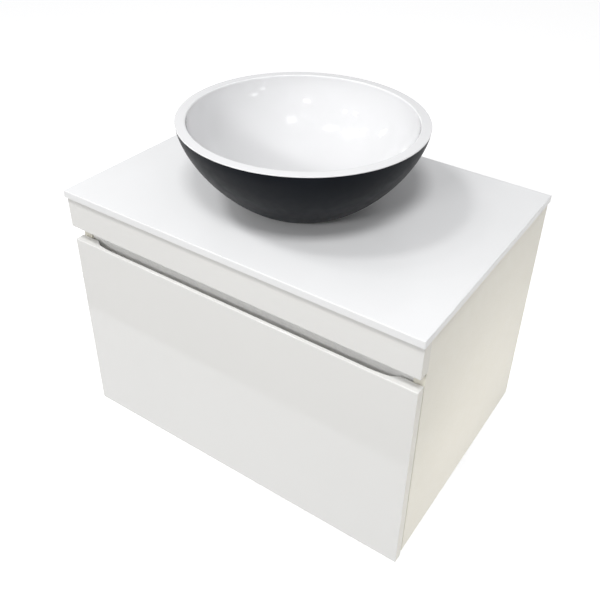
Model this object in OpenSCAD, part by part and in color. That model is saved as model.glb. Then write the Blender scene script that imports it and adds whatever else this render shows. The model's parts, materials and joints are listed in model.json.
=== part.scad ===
/* [Countertop] */
// Width of the countertop slab
top_w = 600; // [580:5:640]
// Depth of the slab, from the wall to its front edge
top_d = 425; // [420:5:460]
// Thickness of the slab
top_t = 12; // [10:1:16]
// How far the slab stands past each side panel
top_overhang = 3; // [0:1:6]

/* [Carcass] */
// Height of the side panels
body_h = 400; // [390:5:440]
// Thickness of the carcass panels and rails
panel_t = 16; // [15:1:18]
// Height of the fascia under the slab
fascia_h = 51; // [46:1:55]
// Thickness of the fascia
fascia_t = 19; // [16:1:20]
// Setback of the fascia's face from the slab's front edge
fascia_setback = 4; // [3:0.5:7]

/* [Drawer] */
// Height of the finger groove between the fascia and the drawer front
groove_h = 23; // [19:1:25]
// Thickness of the drawer front
front_t = 16; // [15:0.5:17]
// How far the drawer front hangs below the side panels
front_drop = 8; // [0:1:12]
// Thickness of the lip left in front of the finger scoop
lip_t = 6; // [4:0.5:8]
// Depth of the finger scoop below the top edge
scoop_h = 22; // [16:1:26]
// Height of the drawer box sides
box_h = 168; // [120:2:170]
// Thickness of the drawer box boards
box_t = 12; // [11:1:14]
// Length of the drawer box and of its runners
box_d = 350; // [300:10:360]

/* [Basin] */
// Outer diameter of the basin
basin_d = 355; // [330:5:370]
// Height of the basin above its seal
basin_h = 129; // [120:1:140]
// Width of the flat rim
rim_w = 15; // [12:1:18]
// Distance of the basin's centre behind the slab's front edge
basin_y = 189; // [185:1:200]

/* [Waste] */
// Radius of the threaded waste body
waste_r = 20.5; // [20:0.5:21]
// Outer radius of the outlet pipe
pipe_r = 16; // [15:0.5:16]
// Height of the outlet pipe's axis, measured down from the hanging rail's centre
outlet_drop = 90; // [88:1:92]

/* [Hidden] */

$fn = 64;
eps = 0.01;

// Heights, from the centre of the hanging rail at the wall
rail_h = 100;
body_top = rail_h / 2;
top_z = body_top + top_t;
body_bottom = body_top - body_h;
fascia_bottom = body_top - fascia_h;
front_top = fascia_bottom - groove_h;
front_bottom = body_bottom - front_drop;

// Widths and depths
body_w = top_w - 2 * top_overhang;
inner_w = body_w - 2 * panel_t;
body_front = -top_d + fascia_setback + fascia_t;
buffer_t = 1.5;
front_back = body_front - buffer_t;
front_face = front_back - front_t;
rail_setback = 4;
rail_y = body_front + rail_setback;
rail_below = 36;
front_rail_h = fascia_h + groove_h + rail_below;
fascia_half = body_w / 2 + 1.5;
low_rail_h = 80;

// Wall fixing holes
hang_x = 200;
hang_z = 10;
hang_r = 4.5;
low_rail_z = body_bottom + panel_t;
low_hang_z = low_rail_z + low_rail_h / 2;

// Drawer box
slide_gap = 13;
box_w = inner_w - 2 * slide_gap;
box_z = body_bottom + panel_t + 6;
box_top = box_z + box_h;
box_floor_t = 10;
box_floor_z = box_z + 10;
groove_cut = 4;
box_back = front_back + box_d;

// Finger scoop, in plan: full depth inside scoop_x, a slow taper, then a quick run-out
scoop_x = body_w / 2 - 72;
scoop_taper = 29;
scoop_runout = 10;
scoop_step = 3;

// Basin
basin_cy = -top_d + basin_y;
seal_t = 1;
basin_z = top_z + seal_t;
basin_r = basin_d / 2;
bowl_r = basin_r - rim_w;
coat_t = 1.2;
rim_edge = 1.6;
rim_round = 0.8;
basin_sunk = 20;
outer_depth = basin_h + basin_sunk;
outer_p = 1.8;
outer_q = 1.5;
inner_p = 2.4;
inner_q = 1.7;
basin_floor = 16;
inner_edge = 2;
inner_depth = basin_h - inner_edge - basin_floor;
bowl_steps = 28;
hole_r = waste_r + 2;
recess_r = 34;

// Waste fitting
flange_r = 32;
flange_t = 2.5;
washer_t = 1;
flange_z = basin_z + basin_floor + washer_t;
waste_bore = 17;
waste_bottom = -8;
bar_z = 36;
bar_h = 6;
boss_r = 8.5;
post_r = 4;
cartridge_r = 7.5;
cartridge_bore = 6.6;
cartridge_h = 30;
cup_floor = 2;
stem_r = 3;
collar_r = 6.2;
spring_z = bar_z + bar_h + cup_floor;
spring_h = 14;
spring_r = 4.9;
wire_r = 0.6;
spring_turns = 6;
cap_r = 30;
cap_t = 4;
cap_seal_t = 1.5;
cap_z = flange_z + flange_t + cap_seal_t;
nut_t = 10;
nut_r = 29;
rubber_t = 4;
through = 200;

// Bottle trap
trap_z = -outlet_drop;
tube_wall = 2;
tube_r = 16;
collar_t = 2.5;
inlet_nut_r = 27;
head_r = 31;
head_top = trap_z + 24;
head_bottom = trap_z - 30;
cup_r = 27;
cup_bottom = trap_z - 62;
cup_top = trap_z - 17;
cup_wall = 2.5;
branch_y = 50;
branch_r = 20;
pipe_start = basin_cy + branch_y + 2;
pipe_end = 45;
bead_r = pipe_r + 1;
escutcheon_r = 33;
rib_w = 6;
rib_end = 4;

// Runners
runner_h = 45;
runner_z = box_z + 83;
runner_front = body_front + 2;
runner_back = runner_front + box_d - 4;
steel_t = 1.2;
ball_r = 1.5;
ball_gap = 3.2;
cage_len = 120;
cage_y = runner_front + 115;
cage_pitch = 12;
wall_x = inner_w / 2;
side_x = box_w / 2;
outer_flange = 10;
middle_web = 2.6;
middle_edge = 11;
inner_flange = 8;
cage_gap = 0.4;
outer_cage_edge = 9;
outer_half = runner_h / 2;
middle_half = outer_half - steel_t - ball_gap;
inner_half = middle_half - steel_t - ball_gap;

// Screws
screw_r = 2;
screw_head_r = 4;
screw_head_h = 2;
screw_cover = 4;
panel_screw_l = 14;
slab_screw_l = 11;
box_screw_l = 30;
runner_screw_l = 12;
bracket_sheet = 2;
bracket_inset = 15;

// Places that several pieces share
runner_screw_y = [runner_front + 30, runner_front + 170, runner_front + 300];
fascia_screw_x = [-220, -75, 75, 220];
front_screw_x = [-200, 200];
front_screw_z = [box_z + 50, box_z + 125];
box_screw_z = [box_z + 35, box_top - 25];
fascia_screw_z = body_top - 22;
bracket_y = [body_front + 75, -75];

// Height over the bowl's lowest point at radius r, and the radius at height z
function bowl_height(r, rim, depth, p, q) = depth * (1 - pow(1 - pow(r / rim, p), 1 / q));
function bowl_radius(z, rim, depth, p, q) = rim * pow(1 - pow(1 - z / depth, q), 1 / p);

// Outside of a shell of radius rim, from the basin's foot up to height z_end
function outside(rim, z_end) = [
    for (i = [0 : bowl_steps])
        let (z = z_end * i / bowl_steps)
        [bowl_radius(z + basin_sunk, rim, outer_depth, outer_p, outer_q), z]
];

// Inside of the bowl, from the edge of the waste recess up to the rim
recess_rise = bowl_height(recess_r, bowl_r, inner_depth, inner_p, inner_q);
function inside() = concat([[recess_r, basin_floor + recess_rise]], [
    for (i = [1 : bowl_steps])
        let (z = recess_rise + (inner_depth - recess_rise) * pow(i / bowl_steps, 1.6))
        [bowl_radius(min(z, inner_depth), bowl_r, inner_depth, inner_p, inner_q), basin_floor + z]
]);

function reversed(list) = [for (i = [len(list) - 1 : -1 : 0]) list[i]];

module at_waste() {
    translate([0, basin_cy, 0]) children();
}

module both_sides() {
    children();
    mirror([1, 0, 0]) children();
}

module ring(r_out, r_in, z, h) {
    translate([0, 0, z]) difference() {
        cylinder(r = r_out, h = h);
        translate([0, 0, -1]) cylinder(r = r_in, h = h + 2);
    }
}

// A board given by its lowest and highest corners
module board(low, high) {
    translate(low) cube(high - low);
}

// A countersunk screw along +Z, with the flat of its head at the origin
module screw(length) {
    cylinder(r1 = screw_head_r, r2 = screw_r, h = screw_head_h);
    cylinder(r = screw_r, h = length - screw_r);
    translate([0, 0, length - screw_r]) cylinder(r1 = screw_r, r2 = 0.5, h = screw_r);
}

// ---- countertop and basin ----

module countertop() {
    color("whitesmoke") difference() {
        board([-top_w / 2, -top_d, body_top], [top_w / 2, 0, top_z]);
        at_waste() translate([0, 0, body_top - 1]) cylinder(r = hole_r, h = top_t + 2);
        top_bracket_screws();
    }
}

module basin() {
    rim_top = basin_h;
    color("white") at_waste() translate([0, 0, basin_z]) rotate_extrude($fn = 96)
        polygon(concat(
            [[hole_r, 0]],
            outside(basin_r - coat_t, rim_top - rim_edge),
            [[basin_r, rim_top - rim_edge], [basin_r, rim_top - rim_round]],
            [[basin_r - rim_round, rim_top], [bowl_r + inner_edge, rim_top]],
            reversed(inside()),
            [[recess_r, basin_floor], [hole_r, basin_floor]]
        ));
}

module basin_coat() {
    color([0.11, 0.115, 0.13]) at_waste() translate([0, 0, basin_z]) rotate_extrude($fn = 96)
        polygon(concat(
            outside(basin_r, basin_h - rim_edge),
            reversed(outside(basin_r - coat_t, basin_h - rim_edge))
        ));
}

module basin_seal() {
    color("lightgray") at_waste() ring(66, 40, top_z, seal_t);
}

// ---- waste fitting ----

module waste_body() {
    color("silver") at_waste() {
        difference() {
            union() {
                translate([0, 0, waste_bottom]) cylinder(r = waste_r, h = flange_z - waste_bottom + 1);
                translate([0, 0, flange_z]) cylinder(r = flange_r, h = flange_t - 1);
                translate([0, 0, flange_z + flange_t - 1])
                    cylinder(r1 = flange_r, r2 = flange_r - 1.5, h = 1, $fn = 64);
            }
            translate([0, 0, waste_bottom - 1]) cylinder(r = waste_bore, h = through);
        }
        waste_bar();
    }
}

// Three spokes and a boss that carry the click cartridge
module waste_bar() {
    difference() {
        union() {
            translate([0, 0, bar_z]) cylinder(r = boss_r, h = bar_h);
            for (a = [0 : 120 : 240])
                rotate(a) translate([boss_r - 1, -2, bar_z]) cube([waste_bore - boss_r + 2, 4, bar_h]);
        }
        translate([0, 0, bar_z - 1]) cylinder(r = post_r, h = bar_h + 2);
    }
}

module waste_top_seal() {
    color("lightgray") at_waste() ring(flange_r - 1, hole_r, basin_z + basin_floor, washer_t);
}

module waste_bottom_seal() {
    color("dimgray") at_waste() ring(nut_r, waste_r, body_top - rubber_t, rubber_t);
}

module waste_backnut() {
    color("goldenrod") at_waste() translate([0, 0, body_top - rubber_t - nut_t]) difference() {
        union() {
            cylinder(r = nut_r, h = nut_t - 3, $fn = 6);
            translate([0, 0, nut_t - 3]) cylinder(r = nut_r, h = 3);
        }
        translate([0, 0, -1]) cylinder(r = waste_r, h = nut_t + 2);
    }
}

module waste_cartridge() {
    color("ivory") at_waste() translate([0, 0, bar_z]) {
        cylinder(r = post_r, h = bar_h + eps);
        translate([0, 0, bar_h]) difference() {
            cylinder(r = cartridge_r, h = cartridge_h);
            translate([0, 0, cup_floor]) cylinder(r = cartridge_bore, h = cartridge_h);
        }
    }
}

// Coil spring as one swept tube
module waste_spring() {
    sides = 8;
    rings = spring_turns * 12;
    rise = spring_h - 2 * wire_r;
    points = [
        for (i = [0 : rings], k = [0 : sides - 1])
            let (turn = 360 * spring_turns * i / rings)
            let (tube = 360 * k / sides)
            let (r = spring_r + wire_r * cos(tube))
            [r * cos(turn), r * sin(turn), wire_r + rise * i / rings + wire_r * sin(tube)]
    ];
    tube_faces = [
        for (i = [0 : rings - 1], k = [0 : sides - 1])
            let (a = i * sides + k)
            let (b = i * sides + (k + 1) % sides)
            [a, b, b + sides, a + sides]
    ];
    start_face = [for (k = [sides - 1 : -1 : 0]) k];
    end_face = [for (k = [0 : sides - 1]) rings * sides + k];
    color("gray") at_waste() translate([0, 0, spring_z])
        polyhedron(points, concat([start_face, end_face], tube_faces));
}

module waste_cap() {
    stem_bottom = spring_z + 2;
    color("silver") at_waste() {
        translate([0, 0, cap_z]) cylinder(r = cap_r, h = cap_t - 1.5);
        translate([0, 0, cap_z + cap_t - 1.5]) cylinder(r1 = cap_r, r2 = cap_r - 1.5, h = 1.5);
        translate([0, 0, stem_bottom]) cylinder(r = stem_r, h = cap_z - stem_bottom + 1);
        translate([0, 0, spring_z + spring_h]) cylinder(r = collar_r, h = 4);
    }
}

module waste_cap_seal() {
    color("dimgray") at_waste() ring(24, 18, cap_z - cap_seal_t, cap_seal_t);
}

// ---- bottle trap and outlet ----

// Grip rib for a nut of length nut_l, starting rib_end from the nut's end
module grip_rib(nut_l) {
    translate([0, -rib_w / 2, 0]) cube([3, rib_w, nut_l - 2 * rib_end]);
}

module trap_inlet_nut() {
    nut_h = 24;
    lip_h = 7;
    z = waste_bottom - lip_h;
    color("silver") at_waste() difference() {
        union() {
            translate([0, 0, z]) cylinder(r = inlet_nut_r, h = nut_h);
            for (a = [0 : 45 : 315])
                rotate(a) translate([inlet_nut_r - 1, 0, z + rib_end]) grip_rib(nut_h);
        }
        translate([0, 0, waste_bottom - collar_t]) cylinder(r = waste_r, h = nut_h);
        translate([0, 0, z - 1]) cylinder(r = tube_r, h = lip_h + 1);
    }
}

// Bottle head, with its inlet and dip tube and its outlet branch
module trap_body() {
    dip_bottom = cup_bottom + 14;
    color("silver") at_waste() difference() {
        union() {
            trap_head();
            translate([0, 0, waste_bottom - collar_t]) cylinder(r = waste_r - 0.5, h = collar_t);
            translate([0, 0, dip_bottom]) cylinder(r = tube_r, h = waste_bottom - 1 - dip_bottom);
        }
        translate([0, 0, dip_bottom - 1]) cylinder(r = tube_r - tube_wall, h = through);
    }
}

module trap_head() {
    difference() {
        union() {
            translate([0, 0, head_bottom]) cylinder(r = head_r, h = head_top - head_bottom);
            translate([0, 0, trap_z]) rotate([-90, 0, 0]) cylinder(r = branch_r, h = branch_y);
        }
        translate([0, 0, head_bottom - 1]) cylinder(r = cup_r, h = head_top - head_bottom - 2);
        translate([0, 0, trap_z]) rotate([-90, 0, 0]) cylinder(r = tube_r - tube_wall, h = branch_y + 1);
    }
}

module trap_cup_seal() {
    color("dimgray") at_waste() ring(cup_r, cup_r - cup_wall, cup_top, 1.5);
}

module trap_cup() {
    color("silver") at_waste() difference() {
        union() {
            translate([0, 0, cup_bottom + 6]) cylinder(r = cup_r, h = cup_top - cup_bottom - 6);
            translate([0, 0, cup_bottom]) cylinder(r1 = cup_r - 6, r2 = cup_r, h = 6);
            translate([0, 0, head_bottom - 6]) cylinder(r = head_r, h = 6);
        }
        translate([0, 0, cup_bottom + 6]) cylinder(r = cup_r - cup_wall, h = cup_top - cup_bottom);
        translate([0, 0, cup_bottom + 3]) cylinder(r1 = cup_r - 10, r2 = cup_r - cup_wall, h = 3);
    }
}

module trap_outlet_nut() {
    nut_l = 20;
    nut_wall = 5;
    y = basin_cy + branch_y - nut_l / 2;
    color("silver") translate([0, y, trap_z]) rotate([-90, 0, 0]) difference() {
        union() {
            cylinder(r = branch_r + nut_wall, h = nut_l);
            for (a = [0 : 45 : 315])
                rotate(a) translate([nut_wall + branch_r - 1, 0, rib_end]) grip_rib(nut_l);
        }
        translate([0, 0, -1]) cylinder(r = branch_r, h = nut_l - 4);
        translate([0, 0, -1]) cylinder(r = pipe_r, h = nut_l + 2);
    }
}

module outlet_pipe() {
    color("silver") translate([0, 0, trap_z]) rotate([-90, 0, 0]) difference() {
        union() {
            translate([0, 0, pipe_start]) cylinder(r = pipe_r, h = pipe_end - pipe_start);
            translate([0, 0, pipe_start - 2]) cylinder(r = branch_r - 1, h = 2.5);
            translate([0, 0, -3]) cylinder(r = bead_r, h = 2);
        }
        translate([0, 0, pipe_start - 3]) cylinder(r = pipe_r - 1.5, h = pipe_end - pipe_start + 4);
    }
}

module wall_escutcheon() {
    color("silver") translate([0, 0, trap_z]) rotate([-90, 0, 0]) difference() {
        union() {
            translate([0, 0, -4]) cylinder(r = escutcheon_r, h = 4);
            translate([0, 0, -12]) cylinder(r1 = pipe_r + 4, r2 = escutcheon_r, h = 8);
        }
        translate([0, 0, -13]) cylinder(r = bead_r + 0.3, h = 14);
    }
}

// ---- carcass ----

// Wooden dowels along X between a side panel and the boards that meet it
module right_dowels() {
    dowel_r = 4;
    dowel_l = 28;
    in_panel = 10;
    inset = 20;
    floor_inset = 60;
    front = rail_y + panel_t / 2;
    back = -panel_t / 2;
    floor_z = body_bottom + panel_t / 2;
    places = [
        [front, body_top - inset], [front, body_top - front_rail_h + inset],
        [back, body_top - inset], [back, -body_top + inset],
        [back, low_rail_z + inset], [back, low_rail_z + low_rail_h - inset],
        [body_front + floor_inset, floor_z], [-floor_inset, floor_z]
    ];
    for (p = places)
        translate([wall_x - dowel_l + in_panel, p[0], p[1]]) rotate([0, 90, 0])
            cylinder(r = dowel_r, h = dowel_l);
}

module carcass_dowels() {
    color("burlywood") both_sides() right_dowels();
}

module right_panel() {
    color("whitesmoke") difference() {
        board([wall_x, body_front, body_bottom], [body_w / 2, 0, body_top]);
        right_dowels();
        right_cabinet_screws();
        right_bracket_side_screws();
        right_buffers();
    }
}

module right_side_panel() {
    right_panel();
}

module left_side_panel() {
    mirror([1, 0, 0]) right_panel();
}

module bottom_panel() {
    color("whitesmoke") difference() {
        board([-wall_x, body_front, body_bottom], [wall_x, 0, body_bottom + panel_t]);
        carcass_dowels();
    }
}

module fascia() {
    color("white") difference() {
        board([-fascia_half, body_front - fascia_t, fascia_bottom], [fascia_half, body_front, body_top]);
        fascia_screws();
    }
}

// Rail behind the fascia and the finger groove, thicker at the top where it meets the fascia
module front_rail() {
    color("whitesmoke") difference() {
        union() {
            board([-wall_x, rail_y, body_top - front_rail_h], [wall_x, rail_y + panel_t, body_top]);
            board([-wall_x, body_front, fascia_bottom + 12], [wall_x, rail_y + eps, body_top]);
        }
        carcass_dowels();
        fascia_screws();
    }
}

module fascia_screws() {
    color("gray") for (x = fascia_screw_x)
        translate([x, rail_y + panel_t, fascia_screw_z]) rotate([90, 0, 0])
            screw(panel_t + rail_setback + fascia_t - screw_cover);
}

module hang_holes(z) {
    for (x = [-hang_x, hang_x])
        translate([x, -panel_t - 1, z]) rotate([-90, 0, 0]) cylinder(r = hang_r, h = panel_t + 2);
}

module back_top_rail() {
    color("whitesmoke") difference() {
        board([-wall_x, -panel_t, -body_top], [wall_x, 0, body_top]);
        hang_holes(hang_z);
        carcass_dowels();
    }
}

module back_bottom_rail() {
    color("whitesmoke") difference() {
        board([-wall_x, -panel_t, low_rail_z], [wall_x, 0, low_rail_z + low_rail_h]);
        hang_holes(low_hang_z);
        carcass_dowels();
    }
}

// Angle brackets that hold the slab down on the side panels
module top_brackets() {
    leg = 26;
    width = 20;
    top = body_top;
    color("silver") both_sides() for (y = bracket_y)
        difference() {
            union() {
                board([wall_x - bracket_sheet, y - width / 2, top - leg], [wall_x, y + width / 2, top]);
                board([wall_x - leg, y - width / 2, top - bracket_sheet], [wall_x, y + width / 2, top]);
            }
            top_bracket_screws();
        }
}

module right_bracket_side_screws() {
    for (y = bracket_y)
        translate([wall_x - bracket_sheet, y, body_top - bracket_inset]) rotate([0, 90, 0])
            screw(panel_screw_l);
}

module right_bracket_top_screws() {
    for (y = bracket_y)
        translate([wall_x - bracket_inset, y, body_top - bracket_sheet]) screw(slab_screw_l);
}

module top_bracket_screws() {
    color("gray") both_sides() {
        right_bracket_side_screws();
        right_bracket_top_screws();
    }
}

// Soft buffers, let into the side panels' front edges, that the drawer front closes on
module right_buffers() {
    pad_r = 4;
    peg_r = 2;
    peg_l = 6;
    for (z = [front_top - 30, body_bottom + 20])
        translate([wall_x + panel_t / 2, body_front - buffer_t, z]) rotate([-90, 0, 0]) {
            cylinder(r = pad_r, h = buffer_t);
            cylinder(r = peg_r, h = buffer_t + peg_l);
        }
}

module drawer_buffers() {
    color("gainsboro") both_sides() right_buffers();
}

// ---- runners: each is drawn on the right and mirrored to the left ----

module right_cabinet_screws() {
    for (y = runner_screw_y)
        translate([wall_x - steel_t, y, runner_z]) rotate([0, 90, 0]) screw(panel_screw_l);
}

module right_drawer_screws() {
    for (y = runner_screw_y)
        translate([side_x + steel_t, y, runner_z]) rotate([0, -90, 0]) screw(runner_screw_l);
}

module runner_outer_screws() {
    color("gray") both_sides() right_cabinet_screws();
}

module runner_inner_screws() {
    color("gray") both_sides() right_drawer_screws();
}

// A channel whose web stands at x and whose flanges run to x_end
module channel(half, x, x_end) {
    web = x_end < x ? [x - steel_t, x] : [x, x + steel_t];
    low = min(x, x_end);
    high = max(x, x_end);
    board([web[0], runner_front, runner_z - half], [web[1], runner_back, runner_z + half]);
    board([low, runner_front, runner_z - half], [high, runner_back, runner_z - half + steel_t]);
    board([low, runner_front, runner_z + half - steel_t], [high, runner_back, runner_z + half]);
}

module right_outer() {
    color("silver") difference() {
        channel(outer_half, wall_x, wall_x - outer_flange);
        right_cabinet_screws();
    }
}

module right_middle() {
    color("lightgray") channel(middle_half, wall_x - middle_web, wall_x - middle_edge);
}

module right_inner() {
    color("silver") difference() {
        channel(inner_half, side_x, side_x + inner_flange);
        right_drawer_screws();
    }
}

// A ball cage: a back strip at x, and two arms at height half that hold the captive balls
module cage(x, x_end, half) {
    strip = 0.6;
    low = min(x, x_end);
    high = max(x, x_end);
    back = x_end < x ? [x - strip, x] : [x, x + strip];
    ball_x = (x + x_end) / 2;
    board([back[0], cage_y, runner_z - half - 0.5], [back[1], cage_y + cage_len, runner_z + half + 0.5]);
    for (z = [-half, half]) {
        board([low, cage_y, runner_z + z - 0.5], [high, cage_y + cage_len, runner_z + z + 0.5]);
        for (y = [cage_pitch / 2 : cage_pitch : cage_len])
            translate([ball_x, cage_y + y, runner_z + z]) sphere(r = ball_r, $fn = 24);
    }
}

module right_cage_outer() {
    web = wall_x - steel_t - cage_gap;
    color("white") cage(web, wall_x - outer_cage_edge, middle_half + ball_gap / 2);
}

module right_cage_inner() {
    web = side_x + inner_flange + 2 * cage_gap;
    color("white") cage(web, side_x + steel_t + cage_gap, inner_half + ball_gap / 2);
}

module left_runner_outer() {
    mirror([1, 0, 0]) right_outer();
}

module right_runner_outer() {
    right_outer();
}

module left_runner_middle() {
    mirror([1, 0, 0]) right_middle();
}

module right_runner_middle() {
    right_middle();
}

module left_runner_inner() {
    mirror([1, 0, 0]) right_inner();
}

module right_runner_inner() {
    right_inner();
}

module left_outer_cage() {
    mirror([1, 0, 0]) right_cage_outer();
}

module right_outer_cage() {
    right_cage_outer();
}

module left_inner_cage() {
    mirror([1, 0, 0]) right_cage_inner();
}

module right_inner_cage() {
    right_cage_inner();
}

// ---- drawer ----

// Plan of the pocket behind the lip, for the right half, from the middle to its end
function scoop_plan() = [
    for (i = [0 : 6]) [scoop_x + scoop_taper * i / 6, front_face + lip_t + scoop_step * pow(i / 6, 2)]
];

module finger_scoop() {
    end_x = scoop_x + scoop_taper + scoop_runout;
    half = concat(scoop_plan(), [[end_x, front_back], [end_x, front_back + 1]]);
    other = [for (p = reversed(half)) [-p[0], p[1]]];
    translate([0, 0, front_top - scoop_h]) linear_extrude(scoop_h + 1) polygon(concat(half, other));
}

module drawer_front() {
    color("white") difference() {
        board([-body_w / 2, front_face, front_bottom], [body_w / 2, front_back, front_top]);
        finger_scoop();
        drawer_front_screws();
    }
}

// A board across the drawer box, standing on its floor, with its front at y
module cross_board(y) {
    half = side_x - box_t;
    board([-half, y, box_floor_z + box_floor_t], [half, y + box_t, box_top]);
}

module drawer_inner_front() {
    color("gainsboro") difference() {
        cross_board(front_back);
        drawer_front_screws();
        drawer_box_screws();
    }
}

module drawer_back() {
    color("gainsboro") difference() {
        cross_board(box_back - box_t);
        drawer_box_screws();
    }
}

module drawer_bottom() {
    edge = side_x - box_t + groove_cut;
    color("gainsboro") board([-edge, front_back, box_floor_z], [edge, box_back, box_floor_z + box_floor_t]);
}

module right_drawer_board() {
    color("gainsboro") difference() {
        board([side_x - box_t, front_back, box_z], [side_x, box_back, box_top]);
        drawer_bottom();
        right_drawer_screws();
        right_box_screws();
    }
}

module drawer_right_side() {
    right_drawer_board();
}

module drawer_left_side() {
    mirror([1, 0, 0]) right_drawer_board();
}

module drawer_front_screws() {
    color("gray") for (x = front_screw_x, z = front_screw_z)
        translate([x, front_back + box_t, z]) rotate([90, 0, 0]) screw(box_t + front_t - screw_cover);
}

module right_box_screws() {
    for (y = [front_back + box_t / 2, box_back - box_t / 2], z = box_screw_z)
        translate([side_x, y, z]) rotate([0, -90, 0]) screw(box_screw_l);
}

module drawer_box_screws() {
    color("gray") both_sides() right_box_screws();
}

countertop();
basin();
basin_coat();
basin_seal();
waste_body();
waste_top_seal();
waste_bottom_seal();
waste_backnut();
waste_cartridge();
waste_spring();
waste_cap();
waste_cap_seal();
trap_inlet_nut();
trap_body();
trap_cup_seal();
trap_cup();
trap_outlet_nut();
outlet_pipe();
wall_escutcheon();
left_side_panel();
right_side_panel();
bottom_panel();
fascia();
front_rail();
back_top_rail();
back_bottom_rail();
carcass_dowels();
fascia_screws();
top_brackets();
top_bracket_screws();
drawer_buffers();
left_runner_outer();
right_runner_outer();
runner_outer_screws();
left_runner_middle();
right_runner_middle();
left_outer_cage();
right_outer_cage();
left_inner_cage();
right_inner_cage();
left_runner_inner();
right_runner_inner();
runner_inner_screws();
drawer_front();
drawer_inner_front();
drawer_left_side();
drawer_right_side();
drawer_back();
drawer_bottom();
drawer_front_screws();
drawer_box_screws();
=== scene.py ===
"""The looks of a wall-hung vanity with a round vessel basin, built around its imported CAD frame."""
import json
import math

import bmesh
import bpy
import numpy as np
from mathutils import Matrix, Vector


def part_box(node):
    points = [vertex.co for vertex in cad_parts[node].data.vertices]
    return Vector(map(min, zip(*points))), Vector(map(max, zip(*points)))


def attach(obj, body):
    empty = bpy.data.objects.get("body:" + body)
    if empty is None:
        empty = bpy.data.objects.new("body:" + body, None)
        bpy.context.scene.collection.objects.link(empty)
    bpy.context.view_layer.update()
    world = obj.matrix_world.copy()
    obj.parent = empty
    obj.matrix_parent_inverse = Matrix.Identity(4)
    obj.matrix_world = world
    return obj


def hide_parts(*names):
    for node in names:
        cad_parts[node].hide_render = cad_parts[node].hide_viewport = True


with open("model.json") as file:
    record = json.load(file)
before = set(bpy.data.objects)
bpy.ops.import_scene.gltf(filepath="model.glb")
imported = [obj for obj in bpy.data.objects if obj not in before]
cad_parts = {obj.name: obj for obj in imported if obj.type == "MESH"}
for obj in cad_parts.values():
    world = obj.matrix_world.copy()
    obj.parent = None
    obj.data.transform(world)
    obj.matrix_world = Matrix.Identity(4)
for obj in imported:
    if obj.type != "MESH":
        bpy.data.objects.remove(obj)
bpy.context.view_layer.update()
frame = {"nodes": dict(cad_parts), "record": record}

SLOT_OF = {part["node"]: part["material_slot"] for part in frame["record"]["subparts"]}
BODY_OF = {node: body for body, nodes in frame["record"]["behaviour"]["bodies"].items() for node in nodes}
MATERIALS = {}
MM = 0.001
MERGE = 0.002 * MM
ROUND_STEPS = 3
SHARP_TURN = 40
OVERCUT = 5

# ---- outlines ----


def fillet(before, corner, after, radius, steps):
    """Points of the arc that rounds one corner of an outline."""
    corner = Vector(corner)
    a = (Vector(before) - corner).normalized()
    b = (Vector(after) - corner).normalized()
    half = a.angle(b) / 2
    centre = corner + (a + b).normalized() * radius / math.sin(half)
    start = corner + a * radius / math.tan(half) - centre
    end = corner + b * radius / math.tan(half) - centre
    turn = math.pi - 2 * half
    arc = []
    for k in range(steps + 1):
        t = k / steps
        arc.append(centre + (start * math.sin(turn * (1 - t)) + end * math.sin(turn * t)) / math.sin(turn))
    return arc


def outline(corners, steps=ROUND_STEPS, closed=True):
    """Points along (u, v) or (u, v, radius) corners, each rounded with its radius."""
    points = []
    count = len(corners)
    for i, corner in enumerate(corners):
        at_end = not closed and i in (0, count - 1)
        if len(corner) == 2 or at_end:
            points.append(Vector(corner[:2]))
            continue
        before = corners[i - 1][:2]
        after = corners[(i + 1) % count][:2]
        points += fillet(before, corner[:2], after, corner[2], steps)
    return points


def divided(points, longest):
    """The same line with no stretch longer than this."""
    result = [points[0]]
    for a, b in zip(points, points[1:]):
        parts = max(1, math.ceil((b - a).length / longest))
        result += [a.lerp(b, (k + 1) / parts) for k in range(parts)]
    return result


# ---- solids, as (points, faces) in millimetres ----


def skin(rings, wrap=False, caps=False):
    """Faces between closed rings of points that follow one another."""
    size = len(rings[0])
    points = [p for ring in rings for p in ring]
    faces = []
    for i in range(len(rings) if wrap else len(rings) - 1):
        a = i * size
        b = (i + 1) % len(rings) * size
        for k in range(size):
            n = (k + 1) % size
            faces.append((a + k, a + n, b + n, b + k))
    if caps:
        faces.append(tuple(range(size)))
        faces.append(tuple(range(len(points) - size, len(points))))
    return points, faces


def spin(profile, segments=96, shape=None):
    """A solid turned about Z from a closed outline of (radius, height); shape may change a radius."""
    rings = []
    for k in range(segments):
        angle = 2 * math.pi * k / segments
        ring = []
        for row, (r, z) in enumerate(profile):
            if shape:
                r = shape(row, angle, r, z)
            ring.append(Vector((r * math.cos(angle), r * math.sin(angle), z)))
        rings.append(ring)
    return skin(rings, wrap=True)


def sweep(section, axis, start, end):
    """A straight bar of one section, whose (u, v) lie on the other two axes in the order x, y, z."""
    rings = []
    for along in (start, end):
        ring = []
        for u, v in section:
            ring.append(Vector({"x": (along, u, v), "y": (u, along, v), "z": (u, v, along)}[axis]))
        rings.append(ring)
    return skin(rings, caps=True)


def moved(solid, *matrices):
    """Copies of a solid, one for each matrix, as one."""
    points = []
    faces = []
    for matrix in matrices:
        first = len(points)
        points += [matrix @ p for p in solid[0]]
        faces += [tuple(first + i for i in face) for face in solid[1]]
    return points, faces


def rotated(solid, count):
    """Copies of a solid at equal angles about Z."""
    return moved(solid, *[Matrix.Rotation(2 * math.pi * k / count, 4, "Z") for k in range(count)])


def joined(*solids):
    """Several solids as one."""
    points = []
    faces = []
    for solid in solids:
        first = len(points)
        points += solid[0]
        faces += [tuple(first + i for i in face) for face in solid[1]]
    return points, faces


MIRROR = Matrix.Scale(-1, 4, (1, 0, 0))
BOTH = (Matrix.Identity(4), MIRROR)


def at(x, y, z):
    return Matrix.Translation((x, y, z))


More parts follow.
